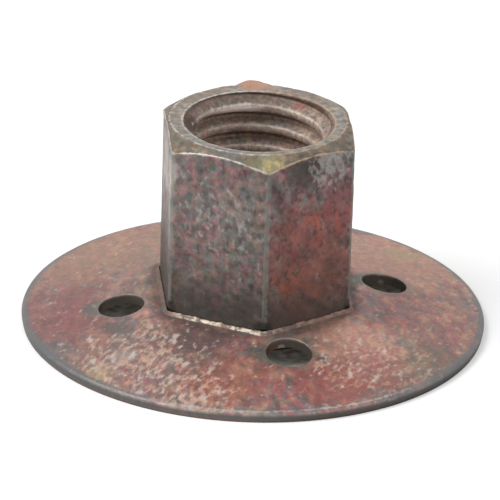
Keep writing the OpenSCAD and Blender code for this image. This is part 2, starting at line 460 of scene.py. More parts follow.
# %% [markdown]
# ## Knocks in the sleeve
#
# Bar stock isn't perfectly flat, and a nut that has been used is knocked about. Each point is
# moved along its normal by a little smooth noise, on three scales, with a few deeper nicks where
# the faces meet. Blows on the end have also spread its top edge outwards by a tenth of a
# millimetre or so, which a chamfer alone wouldn't show.

# %% Dent the sleeve
points, normals = read_points(sleeve)
wear = np.zeros(len(points))
sleeve.data.attributes["edge_wear"].data.foreach_get("value", wear)
from_axis = np.hypot(points[:, 0], points[:, 1])
waves = lumps(points, [(4.0, 0.03, 1), (1.3, 0.02, 2), (0.6, 0.012, 4)])
NICK_DEPTH = 0.25
nicks = np.maximum(roughen(points, 0.9, 3) - 0.2, 0) * wear * NICK_DEPTH
inside = from_axis < mouth_r + 0.02
hidden = points[:, 2] < seat_z + 0.5
CALM_BORE = 0.6
moved = (waves - nicks) * np.where(inside, CALM_BORE, 1) * np.where(hidden, 0, 1)
points += normals * moved[:, None]
SPREAD = 0.009                       # share of the radius
spread = fade(points[:, 2], top_z - 1.6, top_z - 0.3) * fade(from_axis, 8.9, 9.4)
points[:, :2] *= (1 + SPREAD * spread * (1 + 0.5 * roughen(points, 2.5, 5)))[:, None]
points[:, 2] = np.minimum(points[:, 2], burr_z)
write_points(sleeve, points)
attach(sleeve, "root")
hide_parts("hex_sleeve")
print("deepest knock", round(float(-moved.min()), 3))

# %% [markdown]
# ## The disc's section
#
# The disc is one sheet: seat, bend, dish and a rim that the blanking die rolled over. Its columns
# stand at equal angles, since it is round. The hexagonal lip at its inner edge passes into round
# rows over the seat. The holes are left out of the grid as windows, and are filled below.

# %% Points of the sheet's section
def on_dish(along, height):
    """A point of the section: so far along the dish, and so high over the bend's centre."""
    return (bend_centre_r + along * math.cos(dish) + height * math.sin(dish),
            bend_centre_z - along * math.sin(dish) + height * math.cos(dish))


def sheet_side(distance, radius):
    """Height, at a distance from the axis, of the side of the sheet that bends at this radius."""
    across = np.clip(distance - bend_centre_r, 0, radius * math.sin(dish))
    bend = bend_centre_z + np.sqrt(radius**2 - across**2)
    return bend - np.maximum(distance - bend_centre_r - radius * math.sin(dish), 0) * math.tan(dish)


def top_surface(distance):
    """Height of the disc's upper side at a distance from the axis."""
    return sheet_side(distance, bend_r)


def under_surface(distance):
    """Height of the disc's lower side at a distance from the axis."""
    return sheet_side(distance, bend_r - sheet_t)


# %% Columns and dish rows
COLUMNS = 600
disc_angles = FRONT + np.linspace(0, 2 * math.pi, COLUMNS + 1)
disc_ray = np.stack([np.cos(disc_angles), np.sin(disc_angles)])
WINDOW_ROWS = 16
OUTER_ROWS = 20
window_margin = 0.6
window_low_r = bend_centre_r + bend_r * math.sin(dish) - 0.05
window_high_r = hole_circle_r + hole_r + window_margin
rim_start_r = on_dish(dish_length - rim_roll_r, bend_r)[0]
dish_r = np.concatenate([
    np.linspace(window_low_r, window_high_r, WINDOW_ROWS + 1),
    np.linspace(window_high_r, rim_start_r, OUTER_ROWS + 1)[1:]])
print("dish rows:", len(dish_r))

# %% [markdown]
# ## The staked lip
#
# A hexagonal punch drove the seat's metal in against the flats, and left a lip all round them
# that is broken into small beads. Displacing a smooth lip with a texture would need a far finer
# mesh, so the lip's height and width simply follow noise along its length.

# %% Uneven height and width along the lip
LIP_R = 11                           # about the lip's distance from the axis
LOWEST_BEAD = 0.7                    # share of the lip's height
lip_path = np.stack([disc_ray[0], disc_ray[1], 0 * disc_ray[0]], axis=1) * LIP_R
beads = np.clip(0.5 + lumps(lip_path, [(0.8, 1.3, 11), (0.4, 0.9, 12)]), 0, 1)
bulge = lumps(lip_path, [(1.1, 0.14, 13), (0.45, 0.1, 14)])
lip_top = lip_h * (LOWEST_BEAD + (1 - LOWEST_BEAD) * beads)
lip_out = lip_w * 0.95 + bulge * 0.8
corner_near = nearness(turn_off_corner(disc_angles) * LIP_R, 0.7)
lip_top = np.minimum(lip_top * (1 + 0.25 * corner_near), lip_h)
print("lip height from", round(float(lip_top.min()), 2), "to", round(float(lip_top.max()), 2))


# %% Rows of the lip, from the seat under the sleeve to the seat outside it
LIP_CORNER = 0.35                    # rounding of the hexagon that the punch left
LIP_CURVE = ((0.12, 0.97), (0.25, 1.0), (0.42, 0.97), (0.58, 0.86), (0.72, 0.66), (0.84, 0.42),
             (0.94, 0.2), (1.06, 0.07), (1.25, 0.0))     # shares of the lip's width and height


def hexagon_row(offset, z, rounding=LIP_CORNER):
    """A row round the hexagon, so far outside the flats and so high over the seat."""
    outline = hexagon_r(disc_angles, flat_r + fit_gap, rounding)
    return outline + offset / np.cos(HALF_SIDE) * 0.95, seat_z + z


lip_rows = [hexagon_row(0, 0), hexagon_row(0, lip_top * 0.5), hexagon_row(0.01, lip_top * 0.85)]
for share, height in LIP_CURVE:
    lip_rows.append(hexagon_row(lip_out * share, lip_top * height, LIP_CORNER + 0.25 * share))
lip_foot = lip_rows[-1][0]
seat_r = [lip_foot + (window_low_r - lip_foot) * share for share in np.linspace(0, 1, 8)[1:-1]]
seat_rows = [(r, top_surface(r)) for r in seat_r]
print("lip rows:", len(lip_rows), "seat rows:", len(seat_rows))

# %% The whole section of the disc
inner_r = spigot_r + fit_gap
under_z = seat_z - sheet_t
lower_corner_r = on_dish(dish_length, bend_r - sheet_t)[0]
land_end_r = lower_corner_r + rim_land * math.sin(dish) ** 2
under_start_r = lower_corner_r - rim_land * math.cos(dish) ** 2
top_part_rows = [(r, top_surface(r)) for r in dish_r]
roll = arc_rows(*on_dish(dish_length - rim_roll_r, bend_r - rim_roll_r), rim_roll_r,
                90 - math.degrees(dish), -math.degrees(dish), 7)
side = straight_rows(roll[-1], (land_end_r, 0), 3)
land_rows = [(land_end_r, 0.0), (under_start_r, 0.0)]
under_r = np.concatenate([dish_r[:-1], [under_start_r - 0.2]])[::-1]
under_rows = [(r, under_surface(r)) for r in under_r]
bend_row = (bend_centre_r + 0.05, under_surface(bend_centre_r + 0.05))
flat_under_rows = [(bend_centre_r - 0.3, under_z), (10.6, under_z), (9.8, under_z)]
inner_edge_rows = [(inner_r, under_z), (inner_r, seat_z), (inner_r + 0.2, seat_z)]
inner_rows = [bend_row] + flat_under_rows + inner_edge_rows
disc_section = lip_rows + seat_rows + top_part_rows
disc_section += roll[1:] + side + land_rows + under_rows + inner_rows
disc_section.append(disc_section[0])
first_top = len(lip_rows) + len(seat_rows)
first_under = len(disc_section) - 1 - len(inner_rows) - len(under_rows)
print("rows round the disc's section:", len(disc_section))

# %% Put the disc's section round the axis, with a window round each hole
disc_points_r = np.array([np.broadcast_to(r, disc_angles.shape) for r, z in disc_section])
disc_points_z = np.array([np.broadcast_to(z, disc_angles.shape) for r, z in disc_section])
disc_grid = np.stack(
    [disc_points_r * disc_ray[0], disc_points_r * disc_ray[1], disc_points_z], axis=-1)
HALF_WINDOW = 22                     # columns
windows = []
keep = np.ones((len(disc_section) - 1, COLUMNS), bool)
top_rows_cut = np.arange(first_top, first_top + WINDOW_ROWS)
last_under = first_under + len(under_rows) - 1
under_rows_cut = np.arange(last_under - WINDOW_ROWS, last_under)
for hole_angle in hole_angles:
    middle = round((hole_angle - FRONT) / (2 * math.pi) * COLUMNS)
    cut = np.arange(middle - HALF_WINDOW, middle + HALF_WINDOW) % COLUMNS
    keep[np.ix_(top_rows_cut, cut)] = False
    keep[np.ix_(under_rows_cut, cut)] = False
    windows.append(middle)
print("windows start at columns", windows)


# %% [markdown]
# ## The spanner holes
#
# A Boolean would cut the holes, but its edges come out as slivers that can't be rounded. Each
# window is filled instead with rings that pass from the window's square outline into the hole's
# circle, as a modeller would lay the loops by hand. The rings roll over the edge, go down the
# wall and come out on the underside in the same way.

# %% Rings from a window to its hole
def window_loop(middle, first_row, last_row):
    """The grid's points round a window, as one closed loop."""
    columns = (np.arange(middle - HALF_WINDOW, middle + HALF_WINDOW + 1)) % COLUMNS
    step = 1 if last_row > first_row else -1
    outward = np.arange(first_row, last_row + step, step)
    low, high = disc_grid[first_row, columns], disc_grid[last_row, columns]
    left, right = disc_grid[outward, columns[0]], disc_grid[outward, columns[-1]]
    return np.concatenate([low[:-1], right[:-1], high[:0:-1], left[:0:-1]])


EDGE_ROUND = 0.11
ring_shares = np.linspace(0, 1, 9)[1:] ** 1.6            # closest together at the hole


def hole_rings(centre, loop, surface, side, edge_wave):
    """Rings from the hole's wall out to the window, on one side of the sheet."""
    away = loop[:, :2] - centre
    direction = away / np.linalg.norm(away, axis=1)[:, None]
    rings = []
    for turn in np.radians([0, 18, 36, 54, 72, 90]):
        radius = hole_r + EDGE_ROUND * (1 - math.cos(turn)) * edge_wave
        spot = centre + direction * radius[:, None]
        flat = surface(np.linalg.norm(spot, axis=1))
        drop = side * EDGE_ROUND * (1 - math.sin(turn)) * edge_wave
        rings.append(np.column_stack([spot, flat - drop]))
    start = centre + direction * (hole_r + EDGE_ROUND * edge_wave)[:, None]
    for share in ring_shares:
        spot = start + (loop[:, :2] - start) * share
        rings.append(np.column_stack([spot, surface(np.linalg.norm(spot, axis=1))]))
    rings[-1] = loop
    return rings


# %% Fill the four windows
all_points = [disc_grid.reshape(-1, 3)]
all_faces = [grid_faces(len(disc_section), COLUMNS + 1, keep)]
offset = len(all_points[0])
LOWER_EDGE = 0.6                     # the lower edge is less worn than the upper one
for number, (centre, middle) in enumerate(zip(hole_centres, windows)):
    above = window_loop(middle, first_top, first_top + WINDOW_ROWS)
    below_loop = window_loop(middle, last_under, last_under - WINDOW_ROWS)
    turn = np.arctan2(above[:, 1] - centre[1], above[:, 0] - centre[0])
    circle = np.stack([np.cos(turn), np.sin(turn), 0 * turn], axis=1)
    edge_wave = 1 + 0.6 * roughen(circle * 3 + number * 9, 1.1, 21)
    upper = hole_rings(centre, above, top_surface, 1, edge_wave)
    lower = hole_rings(centre, below_loop, under_surface, -1, 0 * edge_wave + LOWER_EDGE)
    wall = [upper[0] + (lower[0] - upper[0]) * share for share in (0.25, 0.5, 0.75)]
    rings = np.array(upper[::-1] + wall + lower)
    rings = np.concatenate([rings, rings[:, :1]], axis=1)
    all_points.append(rings.reshape(-1, 3))
    all_faces.append(grid_faces(rings.shape[0], rings.shape[1])[:, ::-1] + offset)
    offset += rings.shape[0] * rings.shape[1]
print("hole rings:", len(upper) + len(wall) + len(lower), "of", len(above), "points")

# %% [markdown]
# ## Measures on the disc
#
# The material of the disc needs to know more than where its edges are: shade is painted by the
# lip and dirt by the holes, so the mesh also stores how far each point is from the flats and the
# holes.

# %% Worn edges of the disc, and how near each point is to the lip
disc_all = np.concatenate(all_points)
distance = np.hypot(disc_all[:, 0], disc_all[:, 1])
turn = np.arctan2(disc_all[:, 1], disc_all[:, 0])
off_flat = (distance / hexagon_r(turn, flat_r + fit_gap, LIP_CORNER) - 1) * flat_r
upper_side = disc_all[:, 2] > under_surface(distance) + sheet_t * 0.45
rim_wear = nearness(np.abs(disc_r - 0.42 - distance), 0.2) * upper_side
off_centre = [np.hypot(*(disc_all[:, :2] - centre).T) for centre in hole_centres]
hole_gap = np.min(off_centre, axis=0) - hole_r
hole_wear = 0.8 * nearness(hole_gap - 0.06, 0.14)
lip_near = nearness(np.abs(off_flat - 0.2) - 0.15, 0.16) * (disc_all[:, 2] > seat_z + 0.02)
in_hole = fade(top_surface(distance) - disc_all[:, 2], 0.05, 0.3) * (hole_gap < 0.3)
disc = make_piece(
    "dished_disc", disc_all, np.concatenate(all_faces),
    {"edge_wear": np.maximum(rim_wear, hole_wear), "lip": lip_near, "in_hole": in_hole,
     "hole_gap": np.clip(hole_gap, 0, 5), "lip_gap": np.clip(off_flat, 0, 9)})
print("disc:", len(disc.data.vertices), "points,", len(disc.data.polygons), "faces")

# %% [markdown]
# ## Waves in the disc
#
# Pressed sheet is never quite true. The same noise as on the sleeve moves the disc's points, in
# longer and shallower waves. Under the sleeve it stays flat, so that the two still meet there,
# and points that the waves push out past the rim or below the standing plane are brought back.

# %% Dent the disc
points, normals = read_points(disc)
distance = np.hypot(points[:, 0], points[:, 1])
waves = lumps(points, [(7.0, 0.05, 31), (2.2, 0.025, 32), (0.8, 0.014, 33)])
clear_of_sleeve = fade(distance, spigot_r + 1.2, spigot_r + 1.6)
calm_rim = 1 - fade(distance, disc_r - 0.5, disc_r - 0.1) * 0.7
points += normals * (waves * (clear_of_sleeve * calm_rim))[:, None]
INSIDE_BOX = 0.004                   # the dents may not widen the disc
too_wide = np.maximum(np.hypot(points[:, 0], points[:, 1]) / (disc_r - INSIDE_BOX), 1)
points[:, :2] /= too_wide[:, None]
points[:, 2] = np.maximum(points[:, 2], 0)
write_points(disc, points)
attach(disc, "root")
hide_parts("flange_disc")
print("waves up to", round(float(np.abs(waves).max()), 3))

# %% [markdown]
# ## Shader building blocks
#
# The finish is layered: base colour, iridescent mottling, pale bloom, painted shade, dirt and
# bare edges. Both pieces carry the same layers with other values, so each layer is a node group
# with named inputs. A small helper keeps the node code short: an input takes a number, a colour
# or a socket.

# %% Helpers for nodes
class Nodes:
    """Adds nodes to one tree."""

    def __init__(self, tree):
        self.tree = tree

    def add(self, kind, inputs=None, **settings):
        node = self.tree.nodes.new(kind)
        for setting, value in settings.items():
            setattr(node, setting, value)
        for key, value in (inputs or {}).items():
            self.feed(node.inputs[key], value)
        return node

    def feed(self, socket, value):
        """Links a socket to an input, or writes a plain value on it."""
        if isinstance(value, bpy.types.NodeSocket):
            self.tree.links.new(value, socket)
        else:
            socket.default_value = value

    def math(self, operation, *values):
        return self.add("ShaderNodeMath", dict(enumerate(values)), operation=operation).outputs[0]

    def vector_math(self, operation, *values):
        inputs = dict(enumerate(values))
        return self.add("ShaderNodeVectorMath", inputs, operation=operation).outputs

    def noise(self, vector, scale, detail=2.0, roughness=0.5, distortion=0.0):
        return self.add("ShaderNodeTexNoise", {
            "Vector": vector, "Scale": scale, "Detail": detail,
            "Roughness": roughness, "Distortion": distortion}).outputs["Fac"]

    def ramp(self, value, start, end, low=0.0, high=1.0):
        """low up to start and high beyond end, smoothly."""
        node = self.add("ShaderNodeMapRange", {
            "Value": value, "From Min": start, "From Max": end, "To Min": low, "To Max": high},
            interpolation_type="SMOOTHSTEP")
        return node.outputs["Result"]

    def wander(self, value, noise, reach):
        """The value, moved up and down by one that runs from 0 to 1, such as a noise."""
        return self.math("MULTIPLY_ADD", self.math("SUBTRACT", noise, 0.5), reach, value)

    def grey(self, value):
        """One value as a colour."""
        channels = {"Red": value, "Green": value, "Blue": value}
        return self.add("ShaderNodeCombineColor", channels).outputs[0]

    def mix(self, factor, first, second, blend="MIX"):
        node = self.add("ShaderNodeMix", data_type="RGBA", blend_type=blend)
        for key, value in (("Factor_Float", factor), ("A_Color", first), ("B_Color", second)):
            self.feed(next(i for i in node.inputs if i.identifier == key), value)
        return next(o for o in node.outputs if o.identifier == "Result_Color")

    def attribute(self, name):
        return self.add("ShaderNodeAttribute", attribute_name=name).outputs["Fac"]


# %% Helpers for groups and colours
def new_group(name, inputs, outputs):
    """An empty node group with its sockets made, its nodes helper, and its two end nodes."""
    tree = bpy.data.node_groups.new(name, "ShaderNodeTree")
    for title, kind, value in inputs:
        socket = tree.interface.new_socket(title, in_out="INPUT", socket_type="NodeSocket" + kind)
        if value is not None:
            socket.default_value = value
    for title, kind in outputs:
        tree.interface.new_socket(title, in_out="OUTPUT", socket_type="NodeSocket" + kind)
    nodes = Nodes(tree)
    return tree, nodes, nodes.add("NodeGroupInput").outputs, nodes.add("NodeGroupOutput").inputs


def srgb(red, green, blue):
    """A colour given as it looks on a screen, from 0 to 255, as the linear colour of the nodes."""
    def linear(value):
        value /= 255
        return value / 12.92 if value <= 0.04045 else ((value + 0.055) / 1.055) ** 2.4
    return (linear(red), linear(green), linear(blue), 1.0)


def shade(value):
    """A grey from 0 to 1 that is used as a measure, such as how much bloom a patch carries."""
    return (value, value, value, 1.0)


WHITE, BLACK = shade(1.0), shade(0.0)

# %% [markdown]
# ## Mottled chromate
#
# A chromate film is iridescent: its colour runs from rose to green and from tan to slate with its
# thickness, in cells about half a millimetre across. Two fields of noise choose the hue and a
# third one the lightness, so that no two cells agree. A voronoi cell pattern was the other
# choice, but its borders look too much like scales.

# %% Node group: mottled film
tree, n, inp, out = new_group(
    "Mottled Film",
    [("Vector", "Vector", None), ("Base", "Color", (0.2, 0.2, 0.2, 1)),
     ("Rose", "Color", (0.3, 0.1, 0.1, 1)), ("Green", "Color", (0.1, 0.2, 0.1, 1)),
     ("Tan", "Color", (0.3, 0.2, 0.1, 1)), ("Slate", "Color", (0.1, 0.1, 0.2, 1)),
     ("Amount", "Float", 0.5), ("Contrast", "Float", 1.0), ("Drift", "Float", 0.3),
     ("Cell Scale", "Float", 1.6)],
    [("Color", "Color"), ("Height", "Float")])


def cell_field(number, finer):
    """One of the film's fields of noise, each from its own part of space."""
    apart = (31.0 * number, 17.0 * number, 11.0 * number)
    shifted = n.vector_math("ADD", inp["Vector"], apart)[0]
    return n.noise(shifted, n.math("MULTIPLY", inp["Cell Scale"], finer), 2.0, 0.5, 0.1)


def drifting_field(number, finer):
    """Cells whose values also wander slowly over the whole piece."""
    return n.wander(cell_field(number, finer), cell_field(number + 3, 0.14), inp["Drift"])


hue, warmth, light = [drifting_field(i, finer) for i, finer in enumerate((1.0, 0.8, 1.05))]
film_color = inp["Base"]
for field, end, tint in ((hue, 0.66, "Rose"), (hue, 0.36, "Green"),
                         (warmth, 0.66, "Tan"), (warmth, 0.36, "Slate")):
    share = n.math("MULTIPLY", n.ramp(field, 0.5, end), inp["Amount"])
    film_color = n.mix(share, film_color, inp[tint])
level = n.wander(1.0, light, inp["Contrast"])
n.feed(out["Color"], n.mix(1.0, film_color, n.grey(level), "MULTIPLY"))
n.feed(out["Height"], n.math("ADD", hue, light))
mottled_film = tree
print("group", tree.name, "with", len(tree.nodes), "nodes")

# %% [markdown]
# ## Pale bloom
#
# Zinc corrodes to a white bloom that sits in soft specks and short crystals. The specks are the
# peaks of a fine noise, let through only where a coarser noise is high, so that they gather in
# drifts. The vector can be stretched before it comes in, which draws the specks out into streaks.

# %% Node group: pale bloom
tree, n, inp, out = new_group(
    "Pale Bloom",
    [("Vector", "Vector", None), ("Streak Vector", "Vector", None), ("Amount", "Float", 0.5),
     ("Speck Scale", "Float", 2.4)],
    [("Mask", "Float"), ("Height", "Float")])
drift = n.noise(inp["Vector"], 0.35, 3.0, 0.6)
specks = n.noise(inp["Streak Vector"], inp["Speck Scale"], 2.0, 0.55, 0.15)
level = n.wander(n.wander(specks, drift, 0.35), inp["Amount"], 0.3)
mask = n.ramp(level, 0.48, 0.78)
n.feed(out["Mask"], mask)
n.feed(out["Height"], n.math("MULTIPLY", mask, specks))
pale_bloom = tree
print("group", tree.name, "with", len(tree.nodes), "nodes")

# %% [markdown]
# ## Patches in a place
#
# Some colours belong to one place, such as an orange smear or a greenish stretch of rim. A patch
# is a soft ball about a point, with its edge broken up by noise, so it is the same from every side.

# %% Node group: soft patch
tree, n, inp, out = new_group(
    "Soft Patch",
    [("Vector", "Vector", None), ("Centre", "Vector", (0, 0, 0)), ("Radius", "Float", 4.0),
     ("Raggedness", "Float", 0.6)],
    [("Mask", "Float")])
away = n.vector_math("DISTANCE", inp["Vector"], inp["Centre"])["Value"]
uneven = n.math("SUBTRACT", n.noise(inp["Vector"], 0.5, 4.0, 0.65), 0.5)
ragged = n.math("MULTIPLY", n.math("MULTIPLY", uneven, inp["Raggedness"]), 3.0)
ragged = n.math("MULTIPLY", ragged, inp["Radius"])
level = n.math("DIVIDE", n.math("ADD", away, ragged), inp["Radius"])
n.feed(out["Mask"], n.ramp(level, 0.45, 1.1, 1.0, 0.0))
soft_patch = tree
print("group", tree.name, "with", len(tree.nodes), "nodes")

# %% [markdown]
# ## Bared edges
#
# The mesh says how near a worn edge is. Noise breaks that band up, so that the bared steel comes
# and goes along the edge.

# %% Node group: bared edge
tree, n, inp, out = new_group(
    "Bared Edge",
    [("Vector", "Vector", None), ("Nearness", "Float", 0.0), ("Amount", "Float", 0.6)],
    [("Mask", "Float")])
level = n.wander(inp["Nearness"], n.noise(inp["Vector"], 1.6, 3.0, 0.6), 2.4)
n.feed(out["Mask"], n.math("MULTIPLY", n.ramp(level, 0.3, 1.1), inp["Amount"]))
bared_edge = tree
print("group", tree.name, "with", len(tree.nodes), "nodes")


# %% Place a group in a material
def use(n, tree, **inputs):
    """Adds a group node to a tree. Its inputs are named with underscores for spaces."""
    node = n.add("ShaderNodeGroup", node_tree=tree)
    for key, value in inputs.items():
        n.feed(node.inputs[key.replace("_", " ").title()], value)
    return node.outputs


def new_material(name):
    """A material with its nodes helper, its principled shader and the place in millimetres."""
    material = bpy.data.materials.new(name)
    material.use_nodes = True
    material.node_tree.nodes.clear()
    n = Nodes(material.node_tree)
    shader = n.add("ShaderNodeBsdfPrincipled")
    n.add("ShaderNodeOutputMaterial", {"Surface": shader.outputs[0]})
    place = n.add("ShaderNodeTexCoord").outputs["Object"]
    in_mm = n.add("ShaderNodeVectorMath", {0: place, "Scale": 1 / MM}, operation="SCALE")
    return material, n, shader, in_mm.outputs[0]


# %% Draw a pattern out along one direction
def stretched(n, place, turn, squeeze):
    """The place turned in degrees and squeezed along its axes, which draws patterns out."""
    mapping = n.add("ShaderNodeMapping", {
        "Vector": place, "Rotation": [math.radians(angle) for angle in turn], "Scale": squeeze},
        vector_type="TEXTURE")
    return mapping.outputs[0]


# %% [markdown]
# ## Finish of the sleeve
#
# The sleeve is darker than the disc. Its front left flat is grey with rose cells and pale specks,
# its front right flat is a dark red-brown with orange streaks, darkened partly by painted shade,
# and both pass into a painted shade near the seat. The machined end is bare and beige, with a
# trace of olive chromate left on the chamfer.
#
# A texture painted on the unwrapped mesh is the other way. Here each layer follows the place on
# the sleeve instead and is laid over the colour below it, so that nothing has to be unwrapped.

# %% Film on the sleeve
material, n, shader, place = new_material("worn chromate on the sleeve")
x, y, z = n.add("ShaderNodeSeparateXYZ", {0: place}).outputs[:3]
slanting = stretched(n, place, (0.0, 55.0, 30.0), (2.0, 1.0, 1.0))
drawn = n.mix(n.ramp(x, -0.05, 0.05), place, slanting)
film = use(n, mottled_film, vector=drawn, base=srgb(122, 106, 103), rose=srgb(148, 92, 103),
           green=srgb(99, 105, 98), tan=srgb(130, 112, 101), slate=srgb(102, 104, 102),
           amount=0.72, contrast=2.2, drift=0.3, cell_scale=1.15)
print("film on the sleeve:", len(n.tree.nodes), "nodes")

# %% Lay patches over a colour
def paint_patches(n, color, place, patches):
    """Lays soft patches over a colour, each with a centre, a radius, a colour and a strength."""
    for centre, radius, tint, strength in patches:
        mask = use(n, soft_patch, vector=place, centre=centre, radius=radius)["Mask"]
        color = n.mix(n.math("MULTIPLY", mask, strength), color, tint)
    return color


# %% [markdown]
# ### The red-brown side
#
# To the right of the front corner the film has turned red-brown. Its darker tone is partly painted
# shade, for the side turned away from the lamp. Orange streaks slant across it, with dark ones
# between them and dark specks over all. The streaks are one noise, drawn out along a slanting
# direction: its peaks are the orange and its troughs the dark.

# %% Red-brown side of the sleeve
red_and_shaded_side = paint_patches(n, film["Color"], place, [
    ((4.8, -8.3, 11.0), 8.0, srgb(136, 76, 68), 0.6),
    ((8.2, -6.2, 16.5), 4.0, srgb(140, 70, 76), 0.5)])
flame = n.noise(slanting, 0.75, 3.0, 0.5)
flame_place = use(n, soft_patch, vector=place, centre=(5.6, -7.8, 10.5), radius=7.0)["Mask"]
orange = n.math("MULTIPLY", n.ramp(flame, 0.5, 0.68, 0.0, 0.65), flame_place)
red_and_shaded_side = n.mix(orange, red_and_shaded_side, srgb(184, 96, 66))
red_and_shaded_side = n.mix(n.ramp(flame, 0.46, 0.34, 0.0, 0.5), red_and_shaded_side, srgb(70, 62, 52))
dark_specks = n.ramp(n.noise(place, 1.7, 2.0, 0.5), 0.52, 0.3, 0.0, 0.6)
red_and_shaded_side = n.mix(dark_specks, red_and_shaded_side, srgb(62, 52, 48))
color = n.mix(n.ramp(x, -0.3, 0.3), film["Color"], red_and_shaded_side)
print("with the red-brown side:", len(n.tree.nodes), "nodes")

# %% Patches on the flats
LEFT_CORNER = (-9.9, -4.6)           # just outside the front left corner
color = paint_patches(n, color, place, [
    ((-10.6, 0.5, 8.0), 5.0, srgb(84, 75, 68), 0.75),            # painted shade at the foot of the left corner
    ((*LEFT_CORNER, 20.0), 1.8, srgb(188, 180, 172), 0.7),       # painted light down the flat, over rubbed metal
    ((*LEFT_CORNER, 17.5), 1.7, srgb(186, 178, 170), 0.65),
    ((*LEFT_CORNER, 15.0), 1.7, srgb(180, 172, 164), 0.6),
    ((*LEFT_CORNER, 12.5), 1.6, srgb(158, 150, 142), 0.5),
    ((9.6, 3.0, 14.0), 6.0, srgb(134, 118, 106), 0.7),           # calmer right flat
    ((0.0, 10.0, 11.0), 8.0, srgb(124, 92, 88), 0.6),            # calmer rear
    ((5.6, -7.8, 8.3), 2.8, srgb(158, 104, 92), 0.5),            # lighter foot of the red side
    ((4.5, -8.8, 21.5), 3.6, srgb(62, 56, 50), 0.7)])            # dark under the chamfer
# Painted light over the upper left face, which faces the lamp, on partly worn metal
pale = use(n, soft_patch, vector=place, centre=(-11.6, 0.5, 18.5), radius=5.2)["Mask"]
color = n.mix(n.math("MULTIPLY", pale, 0.9), color, srgb(162, 153, 146), "SCREEN")
print("with its patches:", len(n.tree.nodes), "nodes")

# %% [markdown]
# ### Scuffs and bloom
#
# Bloom grows where the film is scuffed: thinly over the left flats, thickly in the middle of the
# front left one and under the right chamfer, and hardly at all on the red-brown side. So the
# amount that the bloom group takes is painted with the same patches as a colour would be.

# %% Bloom on the flats
scuffs = n.mix(n.ramp(x, -0.5, 0.5), shade(0.26), shade(0.02))
scuffs = paint_patches(n, scuffs, place, [
    ((-4.8, -8.3, 15.5), 5.0, shade(0.55), 1.0),
    ((6.9, -6.9, 21.0), 3.4, WHITE, 1.0)])
streaky = stretched(n, place, (0.0, 70.0, 20.0), (1.5, 1.0, 1.0))
bloom = use(n, pale_bloom, vector=place, streak_vector=streaky, amount=scuffs, speck_scale=1.9)
color = n.mix(n.math("MULTIPLY", bloom["Mask"], 0.62), color, srgb(177, 173, 167))
print("with its bloom:", len(n.tree.nodes), "nodes")

# %% [markdown]
# ### The turned end
#
# The plating on the turned top face and its chamfer has worn down to beige metal, a little
# darker on the chamfer. The mesh says which points they are, which keeps the border between
# them and the flats as sharp as the edge itself.

# %% Turned end of the sleeve
end_film = use(n, mottled_film, vector=place, base=srgb(146, 139, 131), rose=srgb(158, 132, 122),
               green=srgb(124, 128, 116), tan=srgb(166, 148, 128), slate=srgb(130, 129, 125),
               amount=0.7, contrast=1.9, cell_scale=1.4)
end_color = n.mix(n.attribute("chamfer"), end_film["Color"], srgb(210, 200, 188), "MULTIPLY")
end_color = paint_patches(n, end_color, place, [
    ((0.3, -9.6, 22.5), 1.9, srgb(146, 140, 112), 0.7),          # olive film on the front corner
    ((-5.5, 7.5, 23.0), 4.0, srgb(130, 116, 96), 0.5),           # brown at the rear left
    ((-8.8, -1.5, 22.6), 3.0, srgb(120, 114, 104), 0.35),        # grey at the left
    ((-5.0, -8.2, 22.7), 3.0, srgb(118, 120, 120), 0.3),
    ((6.5, 7.0, 23.0), 3.5, srgb(140, 122, 110), 0.4),           # brown at the rear right
    ((-1.4, -9.5, 22.5), 1.2, srgb(116, 114, 84), 0.6),          # darker olive beside the front
    ((burr_shift, burr_y + 0.6, burr_z), 2.6, srgb(186, 138, 112), 0.9)])    # reddened burr
yellow = use(n, soft_patch, vector=place, centre=(0.5, -9.8, 22.3), radius=1.5)["Mask"]
yellow_left = n.ramp(n.noise(place, 1.4, 3.0, 0.6), 0.42, 0.6, 0.1, 0.7)
end_color = n.mix(n.math("MULTIPLY", yellow, yellow_left), end_color, srgb(200, 178, 120))
color = n.mix(n.attribute("top_face"), color, end_color)
print("with its turned end:", len(n.tree.nodes), "nodes")

# %% [markdown]
# ### The bore
#
# The thread was cut before plating, and its film is pinker and paler than the one outside. The
# crests are rubbed bright by the spindle. The countersink holds dirt, a painted shade darkens the
# back edge of the mouth, and a painted shade makes the bore a little darker with depth.

# %% Film in the bore
PAINTED_SHADE = srgb(58, 54, 47)
crest = n.attribute("thread_crest")
bore = n.attribute("bore")
bore_film = use(n, mottled_film, vector=place, base=srgb(164, 144, 132), rose=srgb(178, 122, 116),
                green=srgb(124, 126, 112), tan=srgb(172, 150, 128), slate=srgb(120, 120, 120),
                amount=0.8, contrast=1.8, cell_scale=1.3)
bore_color = n.mix(n.ramp(crest, 0.0, 0.7), srgb(172, 148, 132), bore_film["Color"])
bore_color = n.mix(n.ramp(crest, 0.7, 1.0, 0.0, 0.7), bore_color, srgb(216, 194, 180))
print("with its bore's film:", len(n.tree.nodes), "nodes")

# %% Dirt and painted shade in the bore
countersunk = n.ramp(z, top_z - 1.5, top_z - 0.5, 0.0, 0.6)
bore_color = n.mix(countersunk, bore_color, srgb(98, 88, 78))
